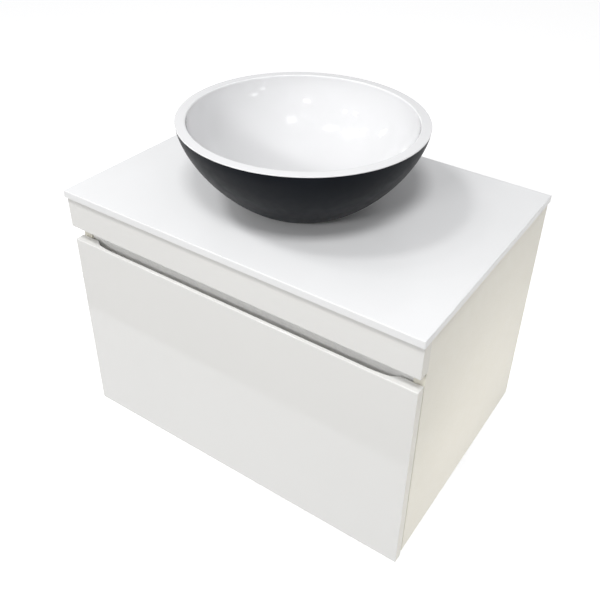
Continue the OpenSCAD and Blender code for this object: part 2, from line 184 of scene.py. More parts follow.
def facing(direction):
    """Turns +Z to this direction."""
    return Vector((0, 0, 1)).rotation_difference(Vector(direction)).to_matrix().to_4x4()


# ---- meshes ----


def to_bmesh(solid):
    """The solid in metres, with its doubled points merged and its faces turned outwards."""
    bm = bmesh.new()
    points = [bm.verts.new(p * MM) for p in solid[0]]
    for face in solid[1]:
        bm.faces.new([points[i] for i in face])
    bmesh.ops.remove_doubles(bm, verts=bm.verts, dist=MERGE)
    bmesh.ops.dissolve_degenerate(bm, dist=MERGE, edges=bm.edges)
    bmesh.ops.recalc_face_normals(bm, faces=bm.faces)
    return bm


def rounded_board(low, high, radius):
    """A board given by its corners in metres, with every edge rounded."""
    bm = bmesh.new()
    bmesh.ops.create_cube(bm, size=1)
    for v in bm.verts:
        v.co = Vector(h if c > 0 else l for c, l, h in zip(v.co, low, high))
    round_edges(bm, radius)
    return bm


def round_edges(bm, radius):
    """Rounds every edge that turns by more than SHARP_TURN degrees."""
    edges = [e for e in bm.edges if e.is_manifold and e.calc_face_angle() > math.radians(SHARP_TURN)]
    arc = {"segments": ROUND_STEPS, "profile": 0.5, "affect": "EDGES", "clamp_overlap": True}
    bmesh.ops.bevel(bm, geom=edges, offset=radius * MM, **arc)


def carve(bm, other):
    """One solid cut by another."""
    objects = []
    for part in (bm, other):
        mesh = bpy.data.meshes.new("part")
        part.to_mesh(mesh)
        part.free()
        objects.append(bpy.data.objects.new("part", mesh))
        bpy.context.scene.collection.objects.link(objects[-1])
    cut = objects[0].modifiers.new("cut", "BOOLEAN")
    cut.operation = "DIFFERENCE"
    cut.solver = "EXACT"
    cut.object = objects[1]
    result = bmesh.new()
    result.from_object(objects[0], bpy.context.evaluated_depsgraph_get())
    for obj in objects:
        bpy.data.meshes.remove(obj.data)
    return result


def lean_normals(mesh):
    """Corner normals that lean to the widest face, so that flats stay flat beside rounded edges."""
    mesh.polygons.foreach_set("use_smooth", [True] * len(mesh.polygons))
    normals = np.zeros((len(mesh.vertices), 3))
    for face in mesh.polygons:
        normals[list(face.vertices)] += np.array(face.normal) * face.area ** 2
    length = np.linalg.norm(normals, axis=1, keepdims=True)
    normals = np.where(length > 0, normals / np.maximum(length, 1e-30), (0, 0, 1))
    mesh.normals_split_custom_set_from_vertices(normals.tolist())


def piece(name, bm, *nodes):
    """Turns bm into a piece that stands for these CAD nodes, with the first one's body and material."""
    bmesh.ops.remove_doubles(bm, verts=bm.verts, dist=MERGE)
    bmesh.ops.delete(bm, geom=[e for e in bm.edges if not e.link_faces], context="EDGES")
    bmesh.ops.recalc_face_normals(bm, faces=bm.faces)
    mesh = bpy.data.meshes.new(name)
    bm.to_mesh(mesh)
    bm.free()
    lean_normals(mesh)
    slot = SLOT_OF[nodes[0]]
    mesh.materials.append(MATERIALS[slot])
    obj = bpy.data.objects.new(name, mesh)
    bpy.context.scene.collection.objects.link(obj)
    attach(obj, BODY_OF[nodes[0]])
    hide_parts(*nodes)


def dress(*nodes):
    """Gives carried-over CAD nodes the material of their slot."""
    for node in nodes:
        materials = frame["nodes"][node].data.materials
        materials.clear()
        materials.append(MATERIALS[SLOT_OF[node]])


def corners(node):
    """A node's lowest and highest corner in millimetres."""
    low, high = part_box(node)
    return low / MM, high / MM


# ---- material nodes ----


class Look:
    """A Principled material whose colour, roughness and relief come from nodes in the part's frame."""

    def __init__(self, name, **sockets):
        self.material = bpy.data.materials.new(name)
        self.material.use_nodes = True
        self.tree = self.material.node_tree
        self.shader = self.tree.nodes["Principled BSDF"]
        for key, value in sockets.items():
            self.shader.inputs[key.replace("_", " ")].default_value = value
        self.place = self.node("ShaderNodeTexCoord").outputs["Object"]
        self.normal = None

    def node(self, kind, **settings):
        node = self.tree.nodes.new(kind)
        for key, value in settings.items():
            setattr(node, key, value)
        return node

    def link(self, start, end):
        self.tree.links.new(start, end)

    def stretched(self, scale):
        """The part's coordinates, scaled along each axis."""
        mapping = self.node("ShaderNodeMapping")
        mapping.inputs["Scale"].default_value = scale
        self.link(self.place, mapping.inputs["Vector"])
        return mapping.outputs["Vector"]

    def along(self, axis):
        """The part's coordinate along one axis."""
        node = self.node("ShaderNodeSeparateXYZ")
        self.link(self.place, node.inputs["Vector"])
        return node.outputs[axis]

    def facing_sides(self):
        """1 where the surface faces left or right, 0 elsewhere."""
        normal = self.node("ShaderNodeSeparateXYZ")
        self.link(self.node("ShaderNodeTexCoord").outputs["Normal"], normal.inputs["Vector"])
        size = self.node("ShaderNodeMath", operation="ABSOLUTE")
        self.link(normal.outputs["X"], size.inputs[0])
        return self.span(size.outputs["Value"], 0, 1, 0.75, 0.95)

    def noise(self, scale, detail=2.0, stretch=(1, 1, 1), distortion=0.0):
        node = self.node("ShaderNodeTexNoise")
        node.inputs["Scale"].default_value = scale
        node.inputs["Detail"].default_value = detail
        node.inputs["Distortion"].default_value = distortion
        self.link(self.stretched(stretch), node.inputs["Vector"])
        return node.outputs["Fac"]

    def cells(self, scale):
        node = self.node("ShaderNodeTexVoronoi", feature="F1")
        node.inputs["Scale"].default_value = scale
        self.link(self.place, node.inputs["Vector"])
        return node.outputs["Distance"]

    def ramp(self, source, stops):
        """Colours at positions along the source's range."""
        node = self.node("ShaderNodeValToRGB")
        set_stops(node, stops)
        self.link(source, node.inputs["Fac"])
        return node.outputs["Color"]

    def span(self, source, low, high, start=0.3, end=0.7):
        """A value from low to high as the source goes from start to end."""
        node = self.node("ShaderNodeMapRange")
        for key, value in (("From Min", start), ("From Max", end), ("To Min", low), ("To Max", high)):
            node.inputs[key].default_value = value
        self.link(source, node.inputs["Value"])
        return node.outputs["Result"]

    def mix(self, factor, first, second, blend="MIX"):
        node = self.node("ShaderNodeMix", data_type="RGBA", blend_type=blend)
        for value, socket in ((factor, node.inputs[0]), (first, node.inputs[6]), (second, node.inputs[7])):
            if isinstance(value, bpy.types.NodeSocket):
                self.link(value, socket)
            elif isinstance(value, (int, float)):
                socket.default_value = value
            else:
                socket.default_value = (*value, 1)
        return node.outputs[2]

    def colour(self, source):
        self.link(source, self.shader.inputs["Base Color"])

    def rough(self, source, low, high):
        self.link(self.span(source, low, high), self.shader.inputs["Roughness"])

    def relief(self, source, height_mm):
        """Adds relief of this height over what is there already."""
        node = self.node("ShaderNodeBump")
        node.inputs["Strength"].default_value = 1.0
        node.inputs["Distance"].default_value = height_mm * MM
        self.link(source, node.inputs["Height"])
        if self.normal:
            self.link(self.normal, node.inputs["Normal"])
        self.normal = node.outputs["Normal"]
        self.link(self.normal, self.shader.inputs["Normal"])


def set_stops(node, stops):
    """Gives a colour ramp node these (position, colour) stops."""
    elements = node.color_ramp.elements
    while len(elements) < len(stops):
        elements.new(0.5)
    for element, (position, colour) in zip(elements, stops):
        element.position = position
        element.color = (*colour, 1)


def shade(colour, factor):
    return tuple(c * factor for c in colour)


def plain_variation(look, colour, scale, spread):
    """A colour that drifts slightly over the surface."""
    source = look.noise(scale, 3)
    look.colour(look.ramp(source, [(0.3, shade(colour, 1 - spread)), (0.7, shade(colour, 1 + spread))]))


# ---- materials ----


def gloss_lacquer():
    """White lacquer; its faces that point left or right are painted a darker beige as painted shade, and
    are duller with less coat.
    """
    look = Look("gloss_lacquer", Coat_Weight=1.0, Coat_Roughness=0.02, Coat_IOR=1.6)
    drift = look.noise(4, 3)
    face = look.ramp(drift, [(0.3, (0.768, 0.766, 0.75)), (0.7, (0.78, 0.778, 0.762))])
    # edge: painted shade, a darker beige for the faces that point left or right
    edge = look.ramp(drift, [(0.3, (0.70, 0.68, 0.615)), (0.7, (0.72, 0.70, 0.635))])
    ends = look.facing_sides()
    # Painted shade: the faces that point left or right take the darker beige
    look.colour(look.mix(ends, face, edge))
    look.link(look.span(ends, 1.0, 0.1, 0, 1), look.shader.inputs["Coat Weight"])
    look.rough(look.noise(40), 0.28, 0.36)
    look.relief(look.noise(190, 1), 0.004)
    return look.material


def slab_white():
    look = Look("slab_white", Coat_Weight=0.3, Coat_Roughness=0.18)
    speck = look.noise(1500, 2)
    tone = look.ramp(look.noise(9, 3), [(0.3, (0.835, 0.84, 0.845)), (0.7, (0.855, 0.86, 0.865))])
    grain = look.ramp(speck, [(0.25, (0.965, 0.965, 0.965)), (0.5, (1, 1, 1))])
    look.colour(look.mix(1.0, tone, grain, "MULTIPLY"))
    look.rough(look.noise(60), 0.3, 0.4)
    look.relief(speck, 0.004)
    return look.material


def side_laminate():
    look = Look("side_laminate", Coat_Weight=0.12, Coat_Roughness=0.3, Specular_IOR_Level=0.3)
    tone = look.ramp(look.noise(3.5, 2), [(0.3, (0.81, 0.785, 0.69)), (0.7, (0.84, 0.815, 0.72))])
    pore = look.ramp(look.noise(900, 2, (1, 0.35, 1)), [(0.3, (0.975, 0.97, 0.965)), (0.55, (1, 1, 1))])
    look.colour(look.mix(1.0, tone, pore, "MULTIPLY"))
    look.rough(look.noise(50), 0.3, 0.4)
    look.relief(look.noise(650, 2, (1, 0.5, 1)), 0.01)
    return look.material


def carcass_white():
    look = Look("carcass_white")
    pore = look.noise(700, 2, (0.4, 1, 1))
    tone = look.ramp(look.noise(5, 3), [(0.3, (0.89, 0.888, 0.875)), (0.7, (0.915, 0.913, 0.90))])
    grain = look.ramp(pore, [(0.3, (0.95, 0.95, 0.945)), (0.6, (1, 1, 1))])
    look.colour(look.mix(1.0, tone, grain, "MULTIPLY"))
    look.rough(look.noise(30), 0.42, 0.55)
    look.relief(pore, 0.02)
    return look.material


def drawer_linen():
    look = Look("drawer_linen")
    warp = look.noise(260, 2, (1, 14, 14))
    weft = look.noise(260, 2, (14, 1, 1))
    threads = look.mix(0.5, warp, weft)
    look.colour(look.ramp(threads, [(0.35, (0.47, 0.48, 0.48)), (0.65, (0.6, 0.61, 0.61))]))
    look.rough(look.noise(40), 0.45, 0.6)
    look.relief(threads, 0.03)
    return look.material


def glaze_white():
    look = Look("glaze_white", Coat_Weight=1.0, Coat_Roughness=0.015, Coat_IOR=1.55)
    drift = look.noise(8, 3)
    # Painted shade: the inside of the bowl gets a darker white than the rim
    inside = look.ramp(drift, [(0.3, (0.742, 0.744, 0.752)), (0.7, (0.754, 0.756, 0.764))])
    # Painted highlight: the rim gets a lighter white than the inside
    rim = look.ramp(drift, [(0.3, (0.81, 0.812, 0.82)), (0.7, (0.822, 0.824, 0.832))])
    top = corners("basin")[1].z * MM
    # The painted-highlight white takes over in the top 3 mm of the basin, blending in over 2 mm
    look.colour(look.mix(look.span(look.along("Z"), 0, 1, top - 3 * MM, top - MM), inside, rim))
    look.rough(look.noise(25), 0.12, 0.2)
    look.relief(look.noise(18, 1), 0.05)
    return look.material


def coat_black():
    look = Look("coat_black", Specular_IOR_Level=0.08)
    grain = look.noise(1600, 2)
    drift = look.noise(14, 4)
    look.colour(look.ramp(drift, [(0.3, (0.003, 0.0045, 0.0075)), (0.7, (0.0045, 0.0065, 0.0105))]))
    look.rough(look.noise(90), 0.36, 0.44)
    look.relief(grain, 0.012)
    return look.material


def plated_chrome():
    look = Look("plated_chrome", Metallic=1.0)
    plain_variation(look, (0.78, 0.79, 0.8), scale=30, spread=0.02)
    look.rough(look.noise(45, 4), 0.05, 0.13)
    look.relief(look.noise(120, 1), 0.004)
    return look.material


def cast_brass():
    look = Look("cast_brass", Metallic=1.0)
    look.colour(look.ramp(look.noise(70, 5), [(0.3, (0.45, 0.32, 0.12)), (0.7, (0.66, 0.5, 0.22))]))
    look.rough(look.noise(160, 3), 0.28, 0.42)
    look.relief(look.noise(700, 2), 0.02)
    return look.material


def zinc_sheet():
    look = Look("zinc_sheet", Metallic=1.0)
    look.colour(look.ramp(look.cells(180), [(0.1, (0.52, 0.53, 0.54)), (0.8, (0.66, 0.67, 0.68))]))
    look.rough(look.noise(500, 2, (1, 0.06, 1)), 0.24, 0.4)
    look.relief(look.noise(900, 2, (1, 0.05, 1)), 0.006)
    return look.material


def zinc_screw():
    look = Look("zinc_screw", Metallic=1.0)
    look.colour(look.ramp(look.noise(400, 3), [(0.3, (0.5, 0.5, 0.53)), (0.7, (0.66, 0.66, 0.7))]))
    look.rough(look.noise(300, 2), 0.25, 0.4)
    return look.material


def spring_wire():
    look = Look("spring_wire", Metallic=1.0)
    plain_variation(look, (0.4, 0.41, 0.43), scale=400, spread=0.15)
    look.rough(look.noise(500, 2), 0.22, 0.35)
    return look.material


def rubber_black():
    look = Look("rubber_black")
    plain_variation(look, (0.018, 0.018, 0.019), scale=200, spread=0.2)
    look.rough(look.noise(300, 3), 0.6, 0.8)
    look.relief(look.noise(1200, 2), 0.02)
    return look.material


def silicone_clear():
    look = Look("silicone_clear", IOR=1.41, Transmission_Weight=0.35)
    plain_variation(look, (0.75, 0.76, 0.75), scale=120, spread=0.03)
    look.rough(look.noise(200, 2), 0.25, 0.35)
    return look.material


def moulding_white():
    look = Look("moulding_white")
    plain_variation(look, (0.72, 0.72, 0.69), scale=60, spread=0.03)
    look.rough(look.noise(200, 2), 0.35, 0.5)
    look.relief(look.noise(800, 2), 0.01)
    return look.material


def beech_wood():
    look = Look("beech_wood")
    grain = look.noise(180, 4, (0.12, 1, 1), 0.4)
    look.colour(look.ramp(grain, [(0.3, (0.4, 0.25, 0.12)), (0.7, (0.56, 0.38, 0.2))]))
    look.rough(grain, 0.5, 0.65)
    look.relief(grain, 0.05)
    return look.material


# ---- countertop and basin ----

WASTE_HOLE_R = 22.5
SLAB_ROUND = 1.2
RIM_EDGE = 1.6
RIM_ROUND = 0.8
COAT_T = 1.2
OUTER_SUNK = 20
OUTER_P = 1.8
OUTER_Q = 1.5
INNER_P = 2.4
INNER_Q = 1.7
RIM_W = 15
INNER_EDGE = 2
BASIN_FLOOR = 16
RECESS_R = 34
BOWL_ROWS = 44
BOWL_SEGMENTS = 160


def bowl_curve(rim, depth, p, q, start_sine):
    """Points (radius, height) up a bowl from where the curve's sine is start_sine to its rim."""
    first = math.asin(start_sine)
    curve = []
    for k in range(BOWL_ROWS + 1):
        angle = first + (math.pi / 2 - first) * k / BOWL_ROWS
        curve.append((rim * math.sin(angle) ** (2 / p), depth * (1 - max(0, math.cos(angle)) ** (2 / q))))
    return curve


def outer_curve(radius, height, top):
    """The outside of the basin, or a skin inside it, from the foot to a height."""
    depth = height + OUTER_SUNK
    foot_cosine = (1 - OUTER_SUNK / depth) ** (OUTER_Q / 2)
    curve = bowl_curve(radius, depth, OUTER_P, OUTER_Q, math.sqrt(1 - foot_cosine ** 2))
    below = [(r, z - OUTER_SUNK) for r, z in curve if z - OUTER_SUNK < top]
    return below + [(radius * (1 - (1 - (top + OUTER_SUNK) / depth) ** OUTER_Q) ** (1 / OUTER_P), top)]


def basin_place():
    """The basin's foot, its radius and its height, from its node."""
    low, high = corners("basin")
    coat_low, coat_high = corners("basin_coat")
    centre = (coat_low + coat_high) / 2
    return at(0, centre.y, low.z), (coat_high.x - coat_low.x) / 2, high.z - low.z


def make_bowl():
    place, radius, height = basin_place()
    bowl_r = radius - RIM_W
    depth = height - INNER_EDGE - BASIN_FLOOR
    outside = outer_curve(radius - COAT_T, height, height - RIM_EDGE)
    inside = bowl_curve(bowl_r, depth, INNER_P, INNER_Q, (RECESS_R / bowl_r) ** (INNER_P / 2))
    profile = [Vector(p) for p in [(WASTE_HOLE_R, 0), *outside]]
    profile += outline(
        [
            outside[-1],
            (radius, height - RIM_EDGE, 0.1),
            (radius, height, RIM_ROUND),
            (bowl_r, height, INNER_EDGE),
            (bowl_r, BASIN_FLOOR + inside[-2][1]),
        ],
        5,
        False,
    )[1:-1]
    profile += [Vector((r, BASIN_FLOOR + z)) for r, z in reversed(inside[1:-1])]
    lip = BASIN_FLOOR + inside[0][1]
    profile += outline(
        [
            (inside[1][0], BASIN_FLOOR + inside[1][1]),
            (RECESS_R, lip, 0.6),
            (RECESS_R, BASIN_FLOOR, 0.5),
            (WASTE_HOLE_R, BASIN_FLOOR, 0.8),
            (WASTE_HOLE_R, 0),
        ],
        3,
        False,
    )[1:-1]
    solid = moved(spin(profile, BOWL_SEGMENTS), place)
    piece("basin_bowl", to_bmesh(solid), "basin")


def make_coat():
    place, radius, height = basin_place()
    top = height - RIM_EDGE
    outside = outer_curve(radius, height, top)
    inside = outer_curve(radius - COAT_T, height, top)
    profile = [Vector(p) for p in outside + inside[::-1]]
    solid = moved(spin(profile, BOWL_SEGMENTS), place)
    piece("basin_shell", to_bmesh(solid), "basin_coat")


def hole_cutter(radius, bottom, top):
    """A plain rod about Z."""
    half = [(0, bottom), (radius, bottom), (radius, top), (0, top)]
    return to_bmesh(spin([Vector(p) for p in half]))


def make_slab():
    low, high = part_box("countertop")
    place, _, _ = basin_place()
    bm = rounded_board(low, high, SLAB_ROUND)
    hole = hole_cutter(WASTE_HOLE_R, low.z / MM - OVERCUT, high.z / MM + OVERCUT)
    bmesh.ops.translate(hole, verts=hole.verts, vec=(0, place.translation.y * MM, 0))
    bm = carve(bm, hole)
    piece("countertop_slab", bm, "countertop")


# ---- fronts and carcass ----

LIP_T = 6
SCOOP_H = 22
FRONT_ROUND = 1.3
COVE = 6
# The scoop's plan, from the front's end inwards: its run-out, then a slow taper to its full depth
SCOOP_END = 33
RUNOUT_BEND = (38, 12.4)
TAPER_START = 43
TAPER_END = 72
TAPER_STEP = 3
TAPER_ROWS = 6


def front_ring(x, inset, wall, face, back, bottom, top):
    """One section of the drawer front, wound from its bottom up its face and round."""
    face += inset
    back -= inset
    bottom += inset
    top -= inset
    r = max(FRONT_ROUND - inset, 0.01)
    wall = min(wall, back)
    floor = top + inset - SCOOP_H
    cove = min(COVE, 0.6 * (back - wall))
    edge = min(r, 0.3 * (back - wall))
    ring = []

    def arc(y, z, radius, start, end):
        for k in range(ROUND_STEPS + 1):
            a = math.radians(start + (end - start) * k / ROUND_STEPS)
            ring.append(Vector((x, y + radius * math.cos(a), z + radius * math.sin(a))))

    arc(face + r, bottom + r, r, 270, 180)
    arc(face + r, top - r, r, 180, 90)
    arc(wall - r, top - r, r, 90, 0)
    arc(wall + cove, floor + cove, cove, 180, 270)
    arc(back - edge, floor - edge, edge, 90, 0)
    arc(back - r, bottom + r, r, 0, -90)
    return ring


def scoop_taper():
    """The taper's points inwards: distance in from the front's end, and from its face."""
    points = []
    for k in range(TAPER_ROWS + 1):
        t = k / TAPER_ROWS
        points.append((TAPER_START + (TAPER_END - TAPER_START) * t, LIP_T + TAPER_STEP * (1 - t) ** 2))
    return points


def make_drawer_front():
    """The drawer's front panel, with a finger scoop routed in the back of its top edge."""
    low, high = corners("drawer_front")
    box = (low.y, high.y, low.z, high.z)
    half = []
    for k in range(ROUND_STEPS + 1):
        a = math.radians(90 * (1 - k / ROUND_STEPS))
        half.append((high.x - FRONT_ROUND * (1 - math.sin(a)), FRONT_ROUND * (1 - math.cos(a)), high.y))
    half.append((high.x - SCOOP_END, 0, high.y))
    half += [(high.x - inward, 0, low.y + wall) for inward, wall in [RUNOUT_BEND, *scoop_taper()]]
    other = [(-x, inset, wall) for x, inset, wall in reversed(half)]
    rings = [front_ring(x, inset, wall, *box) for x, inset, wall in half + other]
    bm = to_bmesh(skin(rings, caps=True))
    piece("drawer_front_panel", bm, "drawer_front")


def make_board(node, radius=0.8, holes=None):
    """A rounded board in a node's box, with the given solid cut out of it."""
    bm = rounded_board(*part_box(node), radius)
    if holes:
        bm = carve(bm, to_bmesh(holes))
    piece(node + "_board", bm, node)


# ---- screws ----

TO_FRONT = (0, -1, 0)
TO_WALL = (0, 1, 0)
TO_LEFT = (-1, 0, 0)
TO_RIGHT = (1, 0, 0)
UP = (0, 0, 1)
STEEL_T = 1.2
BRACKET_T = 2
SCREW_COVER = 4
FASCIA_SCREW_X = (220, 75)
FASCIA_SCREW_DROP = 22
FRONT_SCREW_X = 200
FRONT_SCREW_Z = (-278, -203)
FRONT_SCREW_L = 24
BOX_SCREW_Z = (-293, -185)
BOX_SCREW_INSET = 6
BOX_SCREW_L = 30
RUNNER_SCREWS = (30, 170, 300)
RUNNER_SCREW_L = 12
BRACKET_Y = (-327, -75)
BRACKET_SCREW_INSET = 15
PANEL_SCREW_L = 14
SLAB_SCREW_L = 11
HEAD_R = 4
HEAD_T = 2.2
SHANK_R = 2
TIP_L = 3
SINK_L = 9
SINK_PLAY = 0.05
SCREW_STEPS = 32


def screw_places():
    """The right half's screws in each group: where the head's rim is, the direction and the length."""
    top = corners("countertop")[0].z
    rail = corners("front_rail")[1].y
    fascia_screw = rail - corners("fascia")[0].y - SCREW_COVER
    box_front = corners("drawer_inner_front")[1].y
    side_low, side_high = corners("drawer_right_side")
    runner_low, runner_high = corners("right_runner_outer")
    wall = runner_high.x
    runner_z = (runner_low.z + runner_high.z) / 2
    runner_y = [runner_low.y + y for y in RUNNER_SCREWS]
    ends = (side_low.y + BOX_SCREW_INSET, side_high.y - BOX_SCREW_INSET)
    inset = BRACKET_SCREW_INSET
    brackets = [((wall - BRACKET_T, y, top - inset), TO_RIGHT, PANEL_SCREW_L) for y in BRACKET_Y]
    brackets += [((wall - inset, y, top - BRACKET_T), UP, SLAB_SCREW_L) for y in BRACKET_Y]
    front = [(FRONT_SCREW_X, box_front, z) for z in FRONT_SCREW_Z]
    box = [(side_high.x, y, z) for y in ends for z in BOX_SCREW_Z]
    outer = [(wall - STEEL_T, y, runner_z) for y in runner_y]
    inner = [(side_high.x + STEEL_T, y, runner_z) for y in runner_y]
    fascia = [(x, rail, top - FASCIA_SCREW_DROP) for x in FASCIA_SCREW_X]
    return {
        "fascia_screws": [(place, TO_FRONT, fascia_screw) for place in fascia],
        "drawer_front_screws": [(place, TO_FRONT, FRONT_SCREW_L) for place in front],
        "drawer_box_screws": [(place, TO_LEFT, BOX_SCREW_L) for place in box],
        "runner_outer_screws": [(place, TO_RIGHT, PANEL_SCREW_L) for place in outer],
        "runner_inner_screws": [(place, TO_LEFT, RUNNER_SCREW_L) for place in inner],
        "top_bracket_screws": brackets,
    }


def cross_radius(angle, arm=2.1, half_width=0.55):
    """Radius of a cross-shaped recess at an angle."""
    turn = abs((angle + math.pi / 4) % (math.pi / 2) - math.pi / 4)
    return min(arm / math.cos(turn), half_width / max(math.sin(turn), 1e-6))


def screw(length):
    """A countersunk cross-head screw along +Z with its head's rim at the origin's height."""
    profile = [(0, 1.5), (1, 1.2), (1, 0), (HEAD_R - 0.25, 0), (HEAD_R, 0.2), (SHANK_R, HEAD_T)]
    profile += [(SHANK_R, length - TIP_L), (0.3, length), (0, length)]
    # The rows that make the cross, and how much of its full width each has
    recess = {1: 0.7, 2: 1.0}

    def shape(row, angle, r, z):
        return recess[row] * cross_radius(angle) if row in recess else r

    return spin([Vector(p) for p in profile], SCREW_STEPS, shape)


def countersink():
    """The hole that a flush screw along +Z sits in."""
    rim = HEAD_R + SINK_PLAY
    profile = [(0, -1), (rim, -1), (rim, 0), (SHANK_R, 2 + SINK_PLAY), (SHANK_R, SINK_L), (0, SINK_L)]
    return spin([Vector(p) for p in profile], SCREW_STEPS)


def on_both_sides(position, direction):
    return [side @ at(*position) @ facing(direction) for side in BOTH]


def sinks(group):
    """The countersunk holes of a group of screws."""
    return joined(*[moved(countersink(), *on_both_sides(p, d)) for p, d, _ in screw_places()[group]])


def make_screws():
    for group, places in screw_places().items():
        solid = joined(*[moved(screw(length), *on_both_sides(p, d)) for p, d, length in places])
        piece(group + "_cross_head", to_bmesh(solid), group)


# ---- carcass and drawer box ----

HANG_X = 200
HANG_Z = {"back_top_rail": 10, "back_bottom_rail": -294}
HANG_R = 4.5
HANG_CHAMFER = 2.6
GROOVE_STEP = 12
RAIL_STEP = 4
BRACKET_W = 20
BUFFER_R = 4
BUFFER_PIN_R = 2
BUFFER_PIN_L = 6
BUFFER_SUNK = 0.2


def hang_holes(node):
    """Chamfered holes for the wall screws."""
    low, high = corners(node)
    length = high.y - low.y
    past = 2
    profile = [(0, -past), (HANG_R + HANG_CHAMFER, -past), (HANG_R, HANG_CHAMFER - past)]
    profile += [(HANG_R, length + past), (0, length + past)]
    hole = spin([Vector(p) for p in profile], 48)
    return moved(hole, *on_both_sides((HANG_X, low.y, HANG_Z[node]), TO_WALL))


def make_front_rail():
    """The rail behind the fascia, thicker where the fascia is screwed to it."""
    low, high = corners("front_rail")
    step = corners("fascia")[0].z + GROOVE_STEP
    face = low.y + RAIL_STEP
    section = [(high.y, low.z, 0.8), (high.y, high.z, 0.8), (low.y, high.z, 0.5), (low.y, step, 0.5)]
    section += [(face, step, 0.3), (face, low.z, 0.8)]
    bm = to_bmesh(sweep(outline(section), "x", low.x, high.x))
    piece("front_rail_board", carve(bm, to_bmesh(sinks("fascia_screws"))), "front_rail")


def make_boards():
    make_board("fascia", 1.0)
    make_board("bottom_panel")
    for side in ("left", "right"):
        make_board(f"{side}_side_panel")
        make_board(f"drawer_{side}_side", holes=sinks("drawer_box_screws"))
    for node in HANG_Z:
        make_board(node, holes=hang_holes(node))
    make_board("drawer_inner_front", holes=sinks("drawer_front_screws"))
    make_board("drawer_back")
    make_board("drawer_bottom")


def make_brackets():
    """Folded angle brackets under the slab."""
    low, high = corners("top_brackets")
    leg = high.z - low.z
    inner = high.x - BRACKET_T
    under = high.z - BRACKET_T
    section = [(high.x, low.z, 0.5), (high.x, high.z, 2.6), (high.x - leg, high.z, 0.5)]
    section += [(high.x - leg, under, 0.5), (inner, under, 0.8), (inner, low.z, 0.5)]
    bars = [sweep(outline(section), "y", y - BRACKET_W / 2, y + BRACKET_W / 2) for y in BRACKET_Y]
    bm = to_bmesh(moved(joined(*bars), *BOTH))
    bm = carve(bm, to_bmesh(sinks("top_bracket_screws")))
    piece("folded_brackets", bm, "top_brackets")


def make_buffers():
    """Soft domes on the side panels' front edges that the drawer front closes on."""
    low, high = corners("drawer_buffers")
    thick = corners("right_side_panel")[0].y - low.y
    dome = outline([(BUFFER_R, -BUFFER_SUNK), (BUFFER_R, thick, 0.9), (0, thick)], closed=False)
    pin = [(0, -BUFFER_PIN_L), (BUFFER_PIN_R, -BUFFER_PIN_L), (BUFFER_PIN_R, -BUFFER_SUNK)]
    profile = [Vector(p) for p in pin] + dome
    places = []
    for z in (high.z - BUFFER_R, low.z + BUFFER_R):
        places += on_both_sides((high.x - BUFFER_R, low.y + thick, z), TO_FRONT)
    piece("buffer_domes", to_bmesh(moved(spin(profile, 32), *places)), "drawer_buffers")


# ---- runners: each is made on the right and mirrored to the left ----

SIDES = {"right": BOTH[0], "left": BOTH[1]}
RUNNER_SLOTS = (65, 115, 215, 260)
SLOT_L = 18
SLOT_W = 6.4
RUNNER_FOLD = 1.8
BALL_R = 1.5
BALL_ROWS = 8
BALL_SEGMENTS = 14
CAGE_T = 1.0
CAGE_FOLD = 0.6
CAGE_GRIP = 0.5
CAGE_PITCH = 12


def channel(web, edge, low, high, t, fold):
    """Section of a rolled channel whose web stands at x = web and whose flanges reach x = edge."""
    inner = web + math.copysign(t, edge - web)
    lip = t / 3
    inside = fold / 3
    section = [(web, low, fold), (web, high, fold), (edge, high, lip), (edge, high - t, lip)]
    section += [(inner, high - t, inside), (inner, low + t, inside), (edge, low + t, lip), (edge, low, lip)]
    return outline(section)


def adjusting_slots(low, high):
    """Cutters for the slots in a runner's web."""
    middle = (low.z + high.z) / 2
    past = 2
    r = SLOT_W / 2 - 0.05
    cutters = []
    for y in RUNNER_SLOTS:
        front = low.y + y - SLOT_L / 2
        back = front + SLOT_L
        bottom = middle - SLOT_W / 2
        top = middle + SLOT_W / 2
        section = outline([(front, bottom, r), (back, bottom, r), (back, top, r), (front, top, r)], 6)
        cutters.append(sweep(section, "x", low.x - past, high.x + past))
    return joined(*cutters)


def make_runner(kind, group=None):
    """One channel of each runner, with the screws of this group sunk in it."""
    low, high = corners(f"right_runner_{kind}")
    web, edge = (low.x, high.x) if kind == "inner" else (high.x, low.x)
    bar = sweep(channel(web, edge, low.z, high.z, STEEL_T, RUNNER_FOLD), "y", low.y, high.y)
    slots = adjusting_slots(low, high)
    for side, matrix in SIDES.items():
        bm = carve(to_bmesh(moved(bar, matrix)), to_bmesh(moved(slots, matrix)))
        if group:
            bm = carve(bm, to_bmesh(sinks(group)))
        piece(f"{side}_{kind}_channel", bm, f"{side}_runner_{kind}")


def ball():
    turns = [math.pi * k / BALL_ROWS for k in range(BALL_ROWS + 1)]
    return spin([Vector((BALL_R * math.sin(t), -BALL_R * math.cos(t))) for t in turns], BALL_SEGMENTS)


def make_cage(kind):
    """A strip with two arms that hold a row of balls each."""
    low, high = corners(f"right_{kind}_cage")
    rim = BALL_R - CAGE_GRIP
    arms = channel(high.x, low.x, low.z + rim, high.z - rim, CAGE_T, CAGE_FOLD)
    middle = (low.x + high.x) / 2
    count = round((high.y - low.y) / CAGE_PITCH)
    places = []
    for k in range(count):
        for z in (low.z + BALL_R, high.z - BALL_R):
            places.append(at(middle, low.y + CAGE_PITCH * (k + 0.5), z))
    for side, matrix in SIDES.items():
        node = f"{side}_{kind}_cage"
        strip = moved(sweep(arms, "y", low.y, high.y), matrix)
        balls = moved(ball(), *[matrix @ place for place in places])
        piece(f"{side}_{kind}_ball_strip", to_bmesh(joined(strip, balls)), node)


# ---- waste fitting ----

